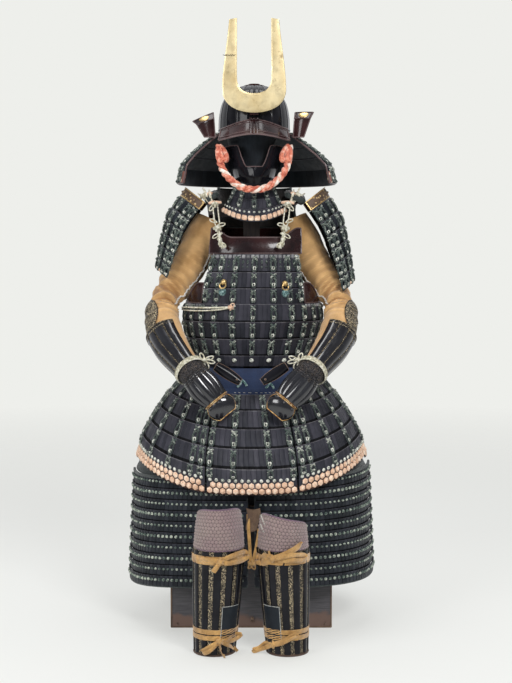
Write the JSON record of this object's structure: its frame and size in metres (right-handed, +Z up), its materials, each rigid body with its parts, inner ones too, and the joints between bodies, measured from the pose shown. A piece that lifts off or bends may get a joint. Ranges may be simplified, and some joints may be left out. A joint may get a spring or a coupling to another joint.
{
  "type": "full samurai armour set up on its storage chest and a wooden stand",
  "caption": "Full Japanese lamellar armour with horned helmet, mask, shoulder guards, sleeves, skirt, thigh and shin guards, displayed seated on a lidded chest.",
  "frame": {"origin": "middle of the storage chest's underside, on the floor", "axes": "+Z up, -Y the way the armour faces, +X the wearer's left"},
  "size_m": [0.7108, 0.886, 1.703],
  "materials": {
    "black_lacquer": "polished black lacquer over iron and rawhide",
    "brown_lacquer": "dark red-brown lacquer over iron and leather",
    "gilt_crest": "worn gold leaf",
    "laced_scales": "matte dark purple-grey lacquered scales of rawhide and iron",
    "ochre_cloth": "golden-brown hemp cloth, lined",
    "navy_cloth": "indigo-dyed cloth",
    "knee_quilting": "mauve-grey cloth quilted over small hexagon plates",
    "ribbon": "golden-brown woven ribbon",
    "twisted_cord": "thick twisted cord of salmon and white silk",
    "pale_cord": "cream braided cord",
    "chest_wood": "worn dark lacquer over wood",
    "stand_wood": "stained plain wood",
    "lacing": "braid in dark green, teal and white",
    "bead_rows": "salmon-coloured leather cells with white stitches",
    "gold_fittings": "gilt copper fittings",
    "mail": "small linked plates and rings, gilded and browned"
  },
  "bodies": {
    "armour": {"helmet_bowl": "black_lacquer", "chin_mask": "black_lacquer", "forearm_guard_left": "black_lacquer", "forearm_guard_right": "black_lacquer", "hand_guard_left": "black_lacquer", "hand_guard_right": "black_lacquer", "finger_guard_left": "black_lacquer", "finger_guard_right": "black_lacquer", "thumb_guard_left": "black_lacquer", "thumb_guard_right": "black_lacquer", "shin_guard_left": "black_lacquer", "shin_guard_right": "black_lacquer", "helmet_peak": "brown_lacquer", "crest_holder": "brown_lacquer", "helmet_wing_left": "brown_lacquer", "helmet_wing_right": "brown_lacquer", "chest_plate": "brown_lacquer", "back_plate": "brown_lacquer", "side_plate_left": "brown_lacquer", "side_plate_right": "brown_lacquer", "shoulder_strap_left": "brown_lacquer", "shoulder_strap_right": "brown_lacquer", "shoulder_cap_left": "brown_lacquer", "shoulder_cap_right": "brown_lacquer", "cuirass_front": "laced_scales", "cuirass_back": "laced_scales", "neck_guard": "laced_scales", "throat_guard": "laced_scales", "shoulder_guard_left": "laced_scales", "shoulder_guard_right": "laced_scales", "tasset_front": "laced_scales", "tasset_front_left": "laced_scales", "tasset_side_left": "laced_scales", "tasset_back_left": "laced_scales", "tasset_front_right": "laced_scales", "tasset_side_right": "laced_scales", "tasset_back_right": "laced_scales", "thigh_guard_left": "laced_scales", "thigh_guard_right": "laced_scales", "sleeve_left": "ochre_cloth", "sleeve_right": "ochre_cloth", "sash": "navy_cloth", "thigh_apron": "navy_cloth", "head_form": "navy_cloth", "knee_guard_left": "knee_quilting", "knee_guard_right": "knee_quilting", "shin_tie_upper_left": "ribbon", "shin_tie_upper_right": "ribbon", "shin_tie_lower_left": "ribbon", "shin_tie_lower_right": "ribbon", "chin_cord": "twisted_cord", "strap_cord_left": "pale_cord", "strap_cord_right": "pale_cord", "side_tie_cord": "pale_cord", "wrist_cord_left": "pale_cord", "wrist_cord_right": "pale_cord", "armour_chest": "chest_wood", "chest_lid": "chest_wood", "display_stand": "stand_wood"},
    "crest": {"helmet_crest": "gilt_crest"}
  },
  "joints": [
    {"name": "crest_lift", "type": "slide", "parent": "armour", "child": "crest", "axis": [0, 0, 1], "range_m": [0, 0.025]}
  ]
}
